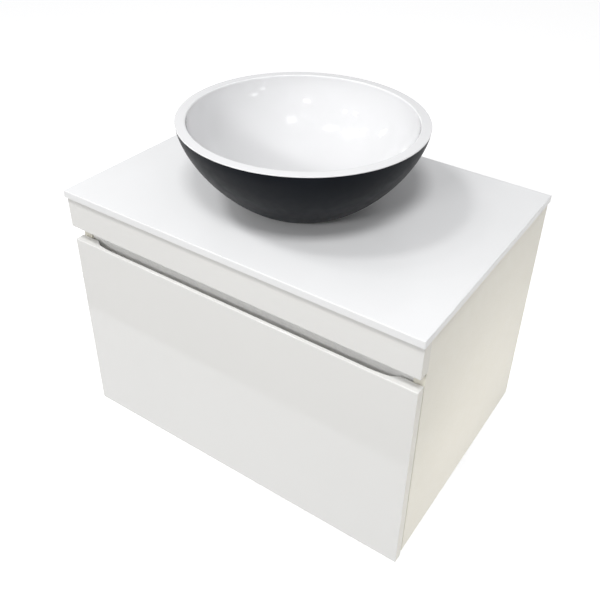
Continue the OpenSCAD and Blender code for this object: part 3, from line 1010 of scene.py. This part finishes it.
THREAD_PITCH = 2.31
THREAD_DEPTH = 0.7
THREAD_ROWS = 6
THREAD_BOTTOM = 2
WASTE_BORE_R = 17
WASTE_PIPE_R = 20.5
WASTE_FLANGE_T = 2.5
SPOKES = 3
SPOKE_W = 4
HUB_Z = (36, 42)
HUB_R = (4, 8.5)
CAP_T = 4
CAP_DOME = 1.1
STEM_R = 3
STEM_COLLAR_R = 6.2
STEM_COLLAR_Z = (58, 62)
NUT_FLANGE_T = 3
OUTLET_Z = -90


def smooth(t):
    t = min(1, max(0, t))
    return t * t * (3 - 2 * t)


def ribbed(count, height, half_width, bottom, top, least):
    """A shape for spin: ribs of this height on the surface beyond a least radius, between two heights."""
    pitch = 2 * math.pi / count

    def shape(row, angle, r, z):
        if r < least:
            return r
        off = abs((angle + pitch / 2) % pitch - pitch / 2) * r
        return r + height * smooth(half_width + 0.5 - off) * smooth(min(z - bottom, top - z) + 0.5)

    return shape


def waste_piece(name, solid, node):
    """A piece about the waste's axis."""
    place = at(0, basin_place()[0].translation.y, 0)
    piece(name, to_bmesh(moved(solid, place)), node)


def outlet_piece(name, solid, node, y=0):
    """A piece about the outlet's axis, with its own Z towards the wall from this y."""
    piece(name, to_bmesh(moved(solid, at(0, y, OUTLET_Z) @ facing(TO_WALL))), node)


def threaded(first, last):
    """A shape for spin: a screw thread cut into these rows."""

    def shape(row, angle, r, z):
        if not first <= row < last:
            return r
        turn = z / THREAD_PITCH - angle / (2 * math.pi)
        return r - THREAD_DEPTH * (0.5 + 0.5 * math.cos(2 * math.pi * turn))

    return shape


def waste_hub():
    """The ring that guides the cap's stem, on spokes that reach into the pipe's wall."""
    bottom, top = HUB_Z
    inner, outer = HUB_R
    ring = outline([(inner, bottom, 0.3), (outer, bottom, 0.6), (outer, top, 0.6), (inner, top, 0.3)])
    near = outer - 0.5
    far = WASTE_BORE_R + 0.6
    side = SPOKE_W / 2
    spoke = outline([(near, -side, 0.3), (far, -side, 0.3), (far, side, 0.3), (near, side, 0.3)])
    return joined(spin(ring, 64), rotated(sweep(spoke, "z", bottom, top), SPOKES))


def make_waste_body():
    """A threaded pipe under a round flange, with the hub inside."""
    low, high = corners("waste_body")
    bore = WASTE_BORE_R
    pipe = WASTE_PIPE_R
    flange = high.z - WASTE_FLANGE_T
    start = (bore, 40)
    top = corners("waste_backnut")[1].z
    head = [(bore, high.z, 1.2), (high.x, high.z, 1.2), (high.x, flange, 0.4), (pipe, flange, 0.5)]
    profile = outline([start, *head, (pipe, top)], 4, False)
    steps = math.ceil((top - THREAD_BOTTOM) / THREAD_PITCH * THREAD_ROWS)
    first = len(profile)
    for k in range(1, steps):
        profile.append(Vector((pipe, top + (THREAD_BOTTOM - top) * k / steps)))
    shape = threaded(first, len(profile))
    foot = [(pipe, THREAD_BOTTOM), (pipe, low.z, 0.6), (bore, low.z, 0.6), start]
    profile += outline(foot, 3, False)[:-1]
    solid = joined(spin(profile, 96, shape), waste_hub())
    waste_piece("waste_pipe_threaded", solid, "waste_body")


def make_waste_cap():
    """A slightly domed cap on its stem."""
    low, high = corners("waste_cap")
    under = high.z - CAP_T
    edge = high.z - CAP_DOME
    bottom, top = STEM_COLLAR_Z
    stem = [(0, low.z), (STEM_R, low.z, 0.5), (STEM_R, bottom, 0.3), (STEM_COLLAR_R, bottom, 0.4)]
    stem += [(STEM_COLLAR_R, top, 0.4), (STEM_R, top, 0.3), (STEM_R, under, 1)]
    rim = [(high.x, under, 0.6), (high.x, edge, 1.2), (24, high.z - 0.7)]
    profile = outline(stem + rim, 4, False)
    for r in (18, 12, 6, 0):
        profile.append(Vector((r, high.z - CAP_DOME * (r / high.x) ** 2)))
    waste_piece("waste_cap_domed", spin(profile, 128), "waste_cap")


def make_backnut():
    """A hexagon with chamfered corners under a round flange."""
    low, high = corners("waste_backnut")
    bore = WASTE_PIPE_R
    flange = high.z - NUT_FLANGE_T
    profile = [(bore, low.z), (26.3, low.z), (27.6, low.z + 0.7), (high.x, low.z + 1.5), (high.x, flange)]
    hexagon = range(1, len(profile))
    profile += [(high.x, flange), (high.x, high.z - 0.5), (high.x - 0.5, high.z), (bore, high.z)]

    def shape(row, angle, r, z):
        turn = angle % (math.pi / 3) - math.pi / 6
        return min(r, high.x * math.cos(math.pi / 6) / math.cos(turn)) if row in hexagon else r

    solid = spin([Vector(p) for p in profile], 96, shape)
    waste_piece("hexagon_backnut", solid, "waste_backnut")


def make_bottom_seal():
    low, high = corners("waste_bottom_seal")
    bore = WASTE_PIPE_R
    ring = [(bore, low.z, 0.4), (high.x, low.z, 1.4), (high.x, high.z, 1.4), (bore, high.z, 0.4)]
    profile = outline(ring, 5)
    waste_piece("rubber_washer", spin(profile), "waste_bottom_seal")


# ---- bottle trap and outlet ----

TUBE_R = 16
TUBE_BORE_R = 14
PIPE_BORE_R = 14.5
BRANCH_R = 20
BRANCH_Y = (24, 50)
BOTTLE_R = 31
BOTTLE_Z = (-30, 24)
CUP_R = 27
CUP_BORE_R = 24.5
TRAP_WALL = 3
CUP_COLLAR_R = 30.2
CUP_COLLAR_Z = (-36, -30)
INLET_NUT_R = 27
INLET_NUT_WEB = 4.5
OUTLET_NUT_R = 25
OUTLET_NUT_SOCKET = 16
NUT_RIBS = 8
NUT_RIB_H = 2
NUT_RIB_HALF_W = 3
NUT_RIB_END = 4
RIB_SEGMENTS = 192
ROSETTE_BORE_R = 17.3
ROSETTE_R = 33
ROSETTE_T = 4
ROSETTE_NECK_R = 20
ROSETTE_NECK_L = 12


def nut_ribs(r, bottom, top):
    """A shape for spin: grip ribs on a nut of this radius, between its two ends."""
    return ribbed(NUT_RIBS, NUT_RIB_H, NUT_RIB_HALF_W, bottom + NUT_RIB_END, top - NUT_RIB_END, r - 2)


def make_inlet_nut():
    low, high = corners("trap_inlet_nut")
    r = INLET_NUT_R
    bore = WASTE_PIPE_R
    web = low.z + INLET_NUT_WEB
    rows = divided([Vector((r, low.z + 2)), Vector((r, high.z - 2))], 1.0)
    inside = [(bore, high.z), (bore, web), (TUBE_R, web), (TUBE_R, low.z)]
    section = outline([*inside, (r, low.z, 1.9), rows[1]], 4, False)[:-1] + rows
    section += outline([rows[-2], (r, high.z, 1.9), (bore, high.z)], 4, False)[1:-1]
    solid = spin(section, RIB_SEGMENTS, nut_ribs(r, low.z, high.z))
    waste_piece("inlet_nut_ribbed", solid, "trap_inlet_nut")


def make_trap_body():
    """Bottle head with a rounded shoulder, its inlet tube and dip tube, and its outlet branch."""
    low, high = corners("trap_body")
    bottom, top = [OUTLET_Z + z for z in BOTTLE_Z]
    under = top - TRAP_WALL
    flare = high.z - 2.5
    head = [(CUP_R, bottom), (BOTTLE_R, bottom, 0.8), (BOTTLE_R, top, 9), (TUBE_R, top, 3), (TUBE_R, flare)]
    tube = [(BRANCH_R, flare), (BRANCH_R, high.z), (TUBE_BORE_R, high.z), (TUBE_BORE_R, low.z)]
    profile = outline([*head, *tube, (TUBE_R, low.z), (TUBE_R, under), (CUP_R, under, 6)], 6)
    near, far = BRANCH_Y
    branch = outline([(TUBE_BORE_R, near), (BRANCH_R, near), (BRANCH_R, far, 0.6), (TUBE_BORE_R, far, 0.4)])
    side = moved(spin(branch, 64), at(0, 0, OUTLET_Z) @ facing(TO_WALL))
    waste_piece("trap_bottle_head", joined(spin(profile, 128), side), "trap_body")


def make_trap_cup():
    """The cup that screws up into the bottle head, with a fluted collar."""
    low, high = corners("trap_cup")
    bottom, top = [OUTLET_Z + z for z in CUP_COLLAR_Z]
    shoulder = low.z + 8
    floor = low.z + TRAP_WALL
    outer = [(0, low.z), (20, low.z, 5), (CUP_R, shoulder, 5), (CUP_R, bottom)]
    outer += [(CUP_COLLAR_R, bottom, 0.8), (CUP_COLLAR_R, top)]
    inner = [(CUP_R, top), (CUP_R, high.z), (CUP_BORE_R, high.z), (CUP_BORE_R, shoulder, 5)]
    inner += [(18, floor, 3), (0, floor)]
    shape = ribbed(24, 0.8, 1.6, bottom, top, CUP_COLLAR_R - 1.2)
    solid = spin(outline(outer + inner, 6, False), RIB_SEGMENTS, shape)
    waste_piece("trap_cup_fluted", solid, "trap_cup")


def make_outlet_nut():
    low, high = corners("trap_outlet_nut")
    length = high.y - low.y
    r = OUTLET_NUT_R
    socket = OUTLET_NUT_SOCKET
    rows = divided([Vector((r, 2)), Vector((r, length - 3))], 1.0)
    section = outline([(BRANCH_R, socket), (BRANCH_R, 0), (r, 0, 1.8), rows[1]], 4, False)[:-1] + rows
    section += outline([rows[-2], (r, length, 2.6), (TUBE_R, length), (TUBE_R, socket)], 4, False)[1:]
    solid = spin(section, RIB_SEGMENTS, nut_ribs(r, 0, length))
    outlet_piece("outlet_nut_ribbed", solid, "trap_outlet_nut", low.y)


def make_outlet_pipe():
    """A straight tube with a rim in the nut and a small bead near the wall."""
    low, high = corners("outlet_pipe")
    bore = PIPE_BORE_R
    rim = low.y + 2.5
    section = [(bore, low.y, 0.3), (19, low.y, 0.3), (19, rim, 0.3), (TUBE_R, rim), (TUBE_R, -3, 0.3)]
    section += [(17, -3, 0.3), (17, -1, 0.3), (TUBE_R, -1, 0.3), (TUBE_R, high.y, 0.6), (bore, high.y, 0.6)]
    outlet_piece("outlet_tube", spin(outline(section)), "outlet_pipe")


def make_escutcheon():
    """A round wall plate that curves into a neck round the pipe."""
    bore = ROSETTE_BORE_R
    neck = -ROSETTE_NECK_L
    section = [(bore, 0), (bore, neck, 0.3), (ROSETTE_NECK_R, neck, 0.8), (23.5, -6.4, 6)]
    section += [(ROSETTE_R, -ROSETTE_T, 0.9), (ROSETTE_R, 0)]
    outlet_piece("wall_rosette", spin(outline(section, 5), 128), "wall_escutcheon")


# ---- the scene ----


CAMERA_AT = (0.55219, -1.05329, 0.61704)
CAMERA_AZIMUTH = math.radians(31.902)
CAMERA_DOWN = math.radians(33.813)
CAMERA_ROLL = math.radians(2.23)
CAMERA_LENS = 45.686
CAMERA_SHIFT = (-0.0419, -0.0687)


def make_camera():
    """The camera at the photograph's angle."""
    data = bpy.data.cameras.new("camera")
    data.lens = CAMERA_LENS
    data.shift_x, data.shift_y = CAMERA_SHIFT
    camera = bpy.data.objects.new("camera", data)
    bpy.context.scene.collection.objects.link(camera)
    turn = Matrix.Rotation(CAMERA_AZIMUTH, 4, "Z") @ Matrix.Rotation(math.pi / 2 - CAMERA_DOWN, 4, "X")
    camera.matrix_world = at(*CAMERA_AT) @ turn @ Matrix.Rotation(CAMERA_ROLL, 4, "Z")
    bpy.context.scene.camera = camera


def area_light(name, position, target, size, power, colour=(1, 1, 1), glossy=True):
    data = bpy.data.lights.new(name, "AREA")
    data.shape = "RECTANGLE"
    data.size, data.size_y = size
    data.energy = power
    data.color = colour
    light = bpy.data.objects.new(name, data)
    bpy.context.scene.collection.objects.link(light)
    light.visible_camera = False
    light.visible_glossy = glossy
    light.location = position
    aim = Vector(target) - Vector(position)
    light.rotation_mode = "QUATERNION"
    light.rotation_quaternion = aim.to_track_quat("-Z", "Y")


FLOOR_Z = -0.8
FLOOR_SIZE = 14
FLOOR_NEAR = (0.86, 0.86, 0.86)
FLOOR_FAR = (0.62, 0.61, 0.595)
FLOOR_EDGE_Y = -0.95
FLOOR_BLEND = 0.01
FLOOR_GLOW = 0.72


def make_floor():
    """A pale floor, a little darker where it is far in front of the cabinet."""
    look = Look("studio_floor")
    far = look.span(look.along("Y"), 0, 1, FLOOR_EDGE_Y - FLOOR_BLEND, FLOOR_EDGE_Y + FLOOR_BLEND)
    tone = look.ramp(far, [(0, FLOOR_FAR), (1, FLOOR_NEAR)])
    look.colour(tone)
    look.rough(look.noise(8), 0.7, 0.8)
    look.link(tone, look.shader.inputs["Emission Color"])
    look.shader.inputs["Emission Strength"].default_value = FLOOR_GLOW
    bm = bmesh.new()
    bmesh.ops.create_grid(bm, x_segments=20, y_segments=20, size=FLOOR_SIZE / 2)
    mesh = bpy.data.meshes.new("studio_floor")
    bm.to_mesh(mesh)
    bm.free()
    mesh.materials.append(look.material)
    floor = bpy.data.objects.new("studio_floor", mesh)
    bpy.context.scene.collection.objects.link(floor)
    floor.location = (0, 0, FLOOR_Z)
    floor.visible_diffuse = False


BASIN_CENTRE = Vector((0, -0.236, 0.1))
CEILING = 2.45
# Small lamps that show as glints in the glaze: direction from the basin, distance, width, length, power
GLINTS = [
    ((0.42, -0.70, 0.58), 2.6, 0.3, 0.2, 1.2),
    ((-0.44, -0.34, 0.83), 2.6, 0.26, 0.26, 4.0),
    ((-0.62, -0.34, 0.71), 2.7, 0.12, 0.34, 3.0),
    ((-0.87, -0.18, 0.45), 2.8, 0.12, 0.4, 2.0),
    ((-0.26, -0.74, 0.63), 2.6, 0.17, 0.17, 0.6),
    ((-0.43, -0.69, 0.58), 2.6, 0.17, 0.17, 0.6),
    ((0.97, -0.20, 0.15), 3.0, 0.3, 0.2, 0.5),
    ((0.96, -0.02, 0.26), 3.0, 0.3, 0.2, 0.5),
]


def ceiling_point(direction):
    """Where a ray from the basin meets the ceiling."""
    way = Vector(direction)
    return BASIN_CENTRE + way * (CEILING / way.z)


# The sky's colours at heights from straight down, 0, to straight up, 1
SKY = [
    (0.0, (0.27, 0.264, 0.25)),
    (0.495, (0.27, 0.264, 0.25)),
    (0.505, (0.60, 0.60, 0.605)),
    (1.0, (0.22, 0.22, 0.225)),
]
# The two lights that model the object: direction from the basin, side and power
SOFTBOXES = [
    ("right_softbox", (0.27, -0.465, 0.843), 0.6, 38),
    ("left_softbox", (-0.27, -0.42, 0.866), 0.4, 17.5),
]
PANEL_LIGHT = (0.40, -0.27, 0.87)
PANEL_SIZE = 0.42
PANEL_POWER = 1.2
LOUVRE = (-0.17, -0.40, 0.90)
LOUVRE_SLATS = 4
LOUVRE_PITCH = 0.12
LOUVRE_SIZE = (0.07, 0.42)
LOUVRE_POWER = 0.3
# The lights that lift the side and the front: place, target, width and height, power and colour
FILLS = [
    ("bounce_light", (0.65, -0.2, -0.24), (0.3, -0.2, -0.24), (0.6, 0.12), 0.66, (1.0, 0.97, 0.92)),
    ("front_fill", (0.05, -2.3, 1.13), (0, -0.4, -0.02), (0.6, 0.15), 14.0, (1, 1, 1)),
]


def make_sky():
    """A studio sky that is brightest at the horizon, over a dimmer ground."""
    world = bpy.data.worlds.new("studio")
    bpy.context.scene.world = world
    world.use_nodes = True
    tree = world.node_tree
    background = tree.nodes["Background"]
    place = tree.nodes.new("ShaderNodeTexCoord")
    parts = tree.nodes.new("ShaderNodeSeparateXYZ")
    height = tree.nodes.new("ShaderNodeMapRange")
    height.inputs["From Min"].default_value = -1
    ramp = tree.nodes.new("ShaderNodeValToRGB")
    set_stops(ramp, SKY)
    tree.links.new(place.outputs["Generated"], parts.inputs["Vector"])
    tree.links.new(parts.outputs["Z"], height.inputs["Value"])
    tree.links.new(height.outputs["Result"], ramp.inputs["Fac"])
    tree.links.new(ramp.outputs["Color"], background.inputs["Color"])


def make_lights():
    make_sky()
    for name, direction, size, power in SOFTBOXES:
        area_light(name, ceiling_point(direction), BASIN_CENTRE, (size, size), power, glossy=False)
    panel = (PANEL_SIZE, PANEL_SIZE)
    area_light("panel_light", ceiling_point(PANEL_LIGHT), BASIN_CENTRE, panel, PANEL_POWER)
    louvre = ceiling_point(LOUVRE)
    for k in range(LOUVRE_SLATS):
        place = louvre + Vector((LOUVRE_PITCH * (k - (LOUVRE_SLATS - 1) / 2), 0, 0))
        area_light(f"louvre_light_{k}", place, BASIN_CENTRE, LOUVRE_SIZE, LOUVRE_POWER)
    for k, (direction, distance, width, length, power) in enumerate(GLINTS):
        place = BASIN_CENTRE + Vector(direction).normalized() * distance
        area_light(f"glint_light_{k}", place, BASIN_CENTRE, (width, length), power)
    for name, place, target, size, power, colour in FILLS:
        area_light(name, place, target, size, power, colour, glossy=False)
    bpy.context.scene.view_settings.view_transform = "Standard"


def make_materials():
    for slot, make in {
        "countertop_white": slab_white,
        "basin_white": glaze_white,
        "basin_black": coat_black,
        "white_lacquer": gloss_lacquer,
        "side_laminate": side_laminate,
        "carcass_board": carcass_white,
        "drawer_board": drawer_linen,
        "beech": beech_wood,
        "chrome": plated_chrome,
        "brass": cast_brass,
        "zinc_steel": zinc_sheet,
        "zinc_screw": zinc_screw,
        "spring_steel": spring_wire,
        "black_rubber": rubber_black,
        "clear_silicone": silicone_clear,
        "white_moulding": moulding_white,
    }.items():
        MATERIALS[slot] = make()


def make_vanity():
    make_bowl()
    make_coat()
    make_slab()
    make_drawer_front()
    make_boards()
    make_front_rail()
    make_screws()
    make_brackets()
    make_buffers()
    make_runner("outer", "runner_outer_screws")
    make_runner("middle")
    make_runner("inner", "runner_inner_screws")
    make_cage("outer")
    make_cage("inner")
    make_waste_body()
    make_waste_cap()
    make_backnut()
    make_bottom_seal()
    make_inlet_nut()
    make_trap_body()
    make_trap_cup()
    make_outlet_nut()
    make_outlet_pipe()
    make_escutcheon()
    dress("basin_seal", "waste_top_seal", "waste_cap_seal", "waste_cartridge", "waste_spring")
    dress("trap_cup_seal", "carcass_dowels")


def main():
    make_camera()
    make_materials()
    make_vanity()
    make_lights()
    make_floor()


main()
